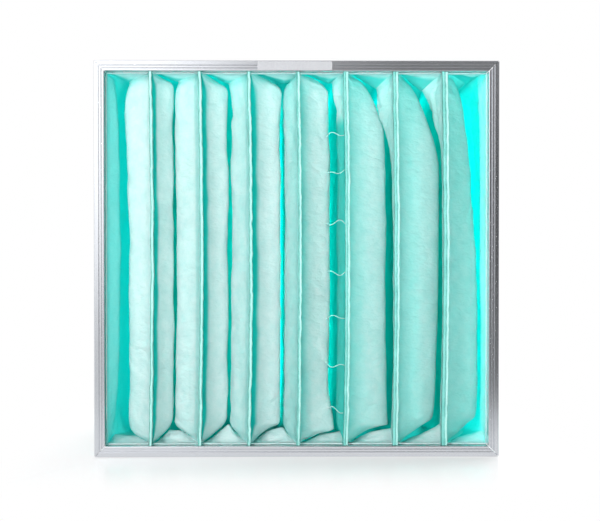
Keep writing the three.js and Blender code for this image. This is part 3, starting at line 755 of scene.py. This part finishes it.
def make_pocket(index):
    tail_from = POCKET_LENGTH - TAIL_SEAM
    coarse = np.linspace(FINE_UNTIL, tail_from, COARSE_RINGS)[1:]
    inner_depth = np.concatenate([FINE_DEPTHS, coarse])
    outer_depth = np.concatenate([inner_depth, [POCKET_LENGTH - TAIL_SEAM / 2, POCKET_LENGTH - 0.5]])
    media = mix(EDGE_MEDIA, MEDIA, smooth(HEADER_DEPTH, MEDIA_FULL_AT, outer_depth))
    media = np.where(outer_depth > tail_from, MEDIA / 2, media)
    inner = pocket_rings(index, inner_depth, np.zeros_like(inner_depth))
    outer = pocket_rings(index, outer_depth, media)
    drop = outer[len(inner_depth) - 1, :, 2].min()
    for rings, depth in ((inner, inner_depth), (outer, outer_depth)):
        down = drop * smooth(SAG_FROM, POCKET_LENGTH - 2 * TAIL_SEAM, depth)
        rings[:, :, 2] -= down[:, None]
    # painted shade amounts for every ring, stored on the mesh below
    painted_shade = np.concatenate([painted_shade_amount(index, inner, inner_depth)[::-1], painted_shade_amount(index, outer, outer_depth)])
    rings = np.concatenate([inner[::-1], outer])
    rows, columns, _ = rings.shape
    r = np.arange(rows - 1)[:, None]
    c = np.arange(columns)[None, :]
    following = (c + 1) % columns
    band = np.stack(
        [r * columns + c, (r + 1) * columns + c, (r + 1) * columns + following, r * columns + following],
        axis=-1,
    ).reshape(-1, 4)
    faces = band.tolist() + slit_faces(0, columns, False) + slit_faces((rows - 1) * columns, columns, True)
    pocket = new_object(f"pocket_{index + 1}_media", rings.reshape(-1, 3), faces, MEDIA_INSIDE)
    pocket.data.materials.append(MEDIA_OUTSIDE)
    loose = looseness(index, painted_shade, np.concatenate([inner_depth[::-1], outer_depth]))
    for name, values in (("painted_shade_amount", painted_shade), ("loose", loose)):
        layer = pocket.data.attributes.new(name, "FLOAT", "POINT")
        layer.data.foreach_set("value", values.ravel())
    for polygon in pocket.data.polygons:
        if polygon.index >= len(inner_depth) * columns:
            polygon.material_index = 1
    return pocket


def slit_faces(start, columns, flipped):
    """Closes a tall narrow ring by joining each point to the one across from it."""
    faces = []
    for i in range(columns // 2 - 1):
        a = start + (i - FOLD_STEPS // 2) % columns
        b = start + (i + 1 - FOLD_STEPS // 2) % columns
        c = start + (-i - 2 - FOLD_STEPS // 2) % columns
        d = start + (-i - 1 - FOLD_STEPS // 2) % columns
        faces.append([d, c, b, a] if flipped else [a, b, c, d])
    return faces


# Threads

# Spacer threads of one pocket, from the left wall's crest to the right wall: height, sag, twist
THREADS = [(472, 4, 3), (422, -3, 2), (343, 3, -4), (268, -3, 3), (198, 4, 2), (130, -4, -3), (61, 2, 3)]
THREAD_THICKNESS = 1.1


def make_thread(number, rings, depths):
    height, sag, twist = THREADS[number]

    def on_wall(depth, columns):
        ring = rings[int(np.argmin(np.abs(depths - depth))), columns]
        return ring[int(np.argmin(np.abs(ring[:, 2] - height)))]

    start = on_wall(74, LEFT_WALL)
    end = on_wall(36, RIGHT_WALL)
    t = np.linspace(0, 1, 18)[:, None]
    line = mix(start, end, t)
    line[:, 2] += (sag * np.sin(np.pi * t) + twist * np.sin(2 * np.pi * t))[:, 0]
    line[:, 1] -= (2 * np.sin(np.pi * t))[:, 0]
    along = np.gradient(line, axis=0)
    along /= np.linalg.norm(along, axis=1)[:, None]
    side = np.cross(along, (0, 0, 1))
    side /= np.linalg.norm(side, axis=1)[:, None]
    over = np.cross(along, side)
    turn = np.linspace(0, 2 * np.pi, 6, endpoint=False)
    around = np.cos(turn)[None, :, None] * side[:, None] + np.sin(turn)[None, :, None] * over[:, None]
    return grid_object(f"thread_{number + 1}", line[:, None] + around * THREAD_THICKNESS / 2, THREAD, True)


# Hems


def make_hem(index):
    """The folded seam between two pockets: a flat strip, a groove and a rounded ridge."""
    left, groove, right = HEMS[index - 1]
    heights = np.linspace(OPENING_BOTTOM + EDGE_GAP, OPENING_TOP - EDGE_GAP, 260)
    ridge = groove + 0.35
    middle = (ridge + right) / 2
    half = (right - ridge) / 2
    back = HEM_BACK - HEM_FRONT
    strip = [(left, back), (left, 2.2), (left + 0.3, 1.5), ((left + groove) / 2, 1.1)]
    strip += [(groove - 0.15, 1.3), (groove, 2.6)]
    arc = [(middle - half * math.cos(a), 1.9 - 1.9 * math.sin(a)) for a in np.linspace(0.1, math.pi, 9)]
    section = strip + arc + [(right, back)]
    rng = np.random.default_rng(40 + index)
    wander = np.interp(heights, np.linspace(0, 600, 26), rng.normal(0, 0.35, 26))
    fine = np.interp(heights, np.linspace(0, 600, 110), rng.normal(0, 0.3, 110))
    points = np.zeros((len(heights), len(section), 3))
    for column, (x, depth) in enumerate(section):
        on_ridge = 1.0 if x > groove else 0.3
        points[:, column, 0] = seam_x(index, heights) + x + wander + fine * on_ridge
        points[:, column, 1] = FRONT + HEM_FRONT + depth + 0.3 * fine * (1 - on_ridge)
        points[:, column, 2] = heights
    hem = grid_object(f"hem_{index}", points, HEM_FABRIC, True)
    hem.data.materials.append(HEM_STRIP)
    columns = len(section)
    # the flat strip takes the darker copy of the hem fabric, painted shade
    for polygon in hem.data.polygons:
        if polygon.index % columns < len(strip):
            polygon.material_index = 1
    return hem


# Scene


def area_light(name, place, target, size, power, colour=(1, 1, 1)):
    light = bpy.data.lights.new(name, "AREA")
    light.shape = "RECTANGLE"
    light.size, light.size_y = size
    light.energy = power
    light.color = colour
    lamp = bpy.data.objects.new(name, light)
    lamp.location = place
    lamp.visible_glossy = False
    lamp.rotation_euler = (Vector(target) - Vector(place)).to_track_quat("-Z", "Y").to_euler()
    bpy.context.scene.collection.objects.link(lamp)


def make_world():
    """White for the camera, brighter behind than in front, with a dim side front right for reflections."""
    world = bpy.data.worlds.new("studio")
    bpy.context.scene.world = world
    world.use_nodes = True
    tree = world.node_tree
    place = tree.nodes.new("ShaderNodeTexCoord")
    split = tree.nodes.new("ShaderNodeSeparateXYZ")
    tree.links.new(place.outputs["Generated"], split.inputs[0])
    x, y, z = split.outputs
    soft = tree.nodes["Background"]
    soft.inputs["Color"].default_value = (1, 1, 1, 1)
    overhead = map_range(tree, z, (0.2, 0.8), (1, 0.55))
    around = map_range(tree, y, (-0.3, 0.5), (0.34, 1.2))
    tree.links.new(maths(tree, "MULTIPLY", around, overhead), soft.inputs["Strength"])
    left = map_range(tree, x, (-0.14, 0.05), (2.2, 0))
    high = map_range(tree, z, (-0.14, 0.08), (0.2, 1))
    far_right = map_range(tree, x, (0.09, 0.14), (1, 2))
    upper = maths(tree, "MULTIPLY", map_range(tree, z, (0.05, 0.2), (0, 0.2)), far_right)
    front = maths(tree, "ADD", maths(tree, "MULTIPLY", left, high), maths(tree, "ADD", upper, 0.04))
    behind = map_range(tree, y, (-0.5, 0.2), (0, 1))
    one_minus = maths(tree, "SUBTRACT", 1.0, behind)
    shiny = tree.nodes.new("ShaderNodeBackground")
    shiny.inputs["Color"].default_value = (0.97, 0.98, 1, 1)
    both = maths(tree, "ADD", maths(tree, "MULTIPLY", front, one_minus), behind)
    tree.links.new(both, shiny.inputs["Strength"])
    seen = tree.nodes.new("ShaderNodeBackground")
    seen.inputs["Color"].default_value = (1, 1, 1, 1)
    path = tree.nodes.new("ShaderNodeLightPath")
    by_gloss = tree.nodes.new("ShaderNodeMixShader")
    tree.links.new(path.outputs["Is Glossy Ray"], by_gloss.inputs["Fac"])
    tree.links.new(soft.outputs[0], by_gloss.inputs[1])
    tree.links.new(shiny.outputs[0], by_gloss.inputs[2])
    blend = tree.nodes.new("ShaderNodeMixShader")
    tree.links.new(path.outputs["Is Camera Ray"], blend.inputs["Fac"])
    tree.links.new(by_gloss.outputs[0], blend.inputs[1])
    tree.links.new(seen.outputs[0], blend.inputs[2])
    tree.links.new(blend.outputs[0], tree.nodes["World Output"].inputs["Surface"])


def make_floor():
    """A white table, with a faint reflection close to the header that fades to pure white."""
    size = 6.0
    mesh = bpy.data.meshes.new("floor")
    corners = [(-size, -size, 0), (size, -size, 0), (size, size, 0), (-size, size, 0)]
    mesh.from_pydata(corners, [], [(0, 1, 2, 3)])
    material, tree, shader = new_material("floor_white")
    shader.inputs["Base Color"].default_value = (0.9, 0.9, 0.91, 1)
    shader.inputs["Roughness"].default_value = 0.2
    place = tree.nodes.new("ShaderNodeTexCoord")
    split = tree.nodes.new("ShaderNodeSeparateXYZ")
    tree.links.new(place.outputs["Object"], split.inputs[0])
    across = map_range(tree, maths(tree, "ABSOLUTE", split.outputs[0], 0), (0.29, 0.42), (0, 1))
    forward = map_range(tree, split.outputs[1], (-0.32, -0.04), (1, 0))
    back = map_range(tree, split.outputs[1], (0.49, 0.62), (0, 1))
    away = maths(tree, "MAXIMUM", maths(tree, "MAXIMUM", across, forward), back)
    path = tree.nodes.new("ShaderNodeLightPath")
    whiteness = maths(tree, "ADD", maths(tree, "MULTIPLY", away, 0.55), 0.45)
    amount = maths(tree, "MULTIPLY", whiteness, path.outputs["Is Camera Ray"])
    white = tree.nodes.new("ShaderNodeEmission")
    white.inputs["Color"].default_value = (1, 1, 1, 1)
    blend = tree.nodes.new("ShaderNodeMixShader")
    tree.links.new(amount, blend.inputs["Fac"])
    tree.links.new(shader.outputs[0], blend.inputs[1])
    tree.links.new(white.outputs[0], blend.inputs[2])
    # painted reflection: in the rails' reflection the table glows, bright close by and dimmer away from the
    # header, more so to the right
    sideways = map_range(tree, split.outputs[0], (-0.35, 0.3), (0.75, 0.15))
    close = map_range(tree, split.outputs[1], (-1.1, -0.1), (0, 1))
    mirrored = tree.nodes.new("ShaderNodeEmission")
    mirrored.inputs["Color"].default_value = (0.96, 0.98, 1, 1)
    dimmed = maths(tree, "MULTIPLY", sideways, maths(tree, "SUBTRACT", 1.0, close))
    tree.links.new(maths(tree, "ADD", dimmed, close), mirrored.inputs["Strength"])
    by_gloss = tree.nodes.new("ShaderNodeMixShader")
    tree.links.new(path.outputs["Is Glossy Ray"], by_gloss.inputs["Fac"])
    tree.links.new(blend.outputs[0], by_gloss.inputs[1])
    tree.links.new(mirrored.outputs[0], by_gloss.inputs[2])
    tree.links.new(by_gloss.outputs[0], tree.nodes["Material Output"].inputs["Surface"])
    mesh.materials.append(material)
    floor = bpy.data.objects.new("floor", mesh)
    floor.location.z = -0.0006
    bpy.context.scene.collection.objects.link(floor)


def make_camera():
    data = bpy.data.cameras.new("camera")
    data.lens = CAMERA_LENS
    data.sensor_width = 36
    camera = bpy.data.objects.new("camera", data)
    camera.location = CAMERA_AT
    camera.rotation_euler = Euler((math.pi / 2 + CAMERA_TILT, 0, -CAMERA_TURN), "XYZ")
    bpy.context.scene.collection.objects.link(camera)
    bpy.context.scene.camera = camera


make_camera()
make_world()
make_floor()
area_light("key", (-0.65, -1.7, 0.8), (0, 0, 0.3), (0.4, 0.4), 31)
area_light("fill", (0.2, -1.8, 0.15), (0, 0, 0.35), (0.7, 0.7), 30)
area_light("right_back", (1.3, 1.0, 0.7), (0.25, 0.1, 0.3), (0.8, 0.9), 20)
area_light("left_back", (-1.2, 1.2, 0.5), (-0.2, 0.2, 0.3), (0.8, 0.9), 11)
area_light("behind", (0.6, 1.8, 0.5), (0.15, 0.2, 0.3), (1.2, 1.0), 95)


for side in ("top", "bottom"):
    set_material(f"rail_{side}", STEEL_ALONG_X)
for side in ("left", "right"):
    set_material(f"rail_{side}", STEEL_RIGHT if side == "right" else STEEL_ALONG_Z)
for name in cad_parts:
    if name.startswith("corner_key"):
        set_material(name, STEEL_ALONG_X)
    if name.startswith("divider_strip"):
        set_material(name, STEEL_ALONG_Z)
set_material("label", PAPER)

for i in range(POCKET_COUNT):
    pocket = make_pocket(i)
    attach(pocket, "root")
    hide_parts(f"pocket_{i + 1}")
    threads = []
    if i == THREADED_POCKET:
        wall_rings = pocket_rings(i, FINE_DEPTHS, np.zeros_like(FINE_DEPTHS))
        threads = [make_thread(number, wall_rings, FINE_DEPTHS) for number in range(len(THREADS))]
        for thread in threads:
            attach(thread, "root")
for i in range(1, POCKET_COUNT):
    hem = make_hem(i)
    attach(hem, "root")
    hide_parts(f"divider_hem_{i}")

scene = bpy.context.scene
scene.view_settings.view_transform = "Standard"
scene.cycles.diffuse_bounces = 8
scene.cycles.max_bounces = 12
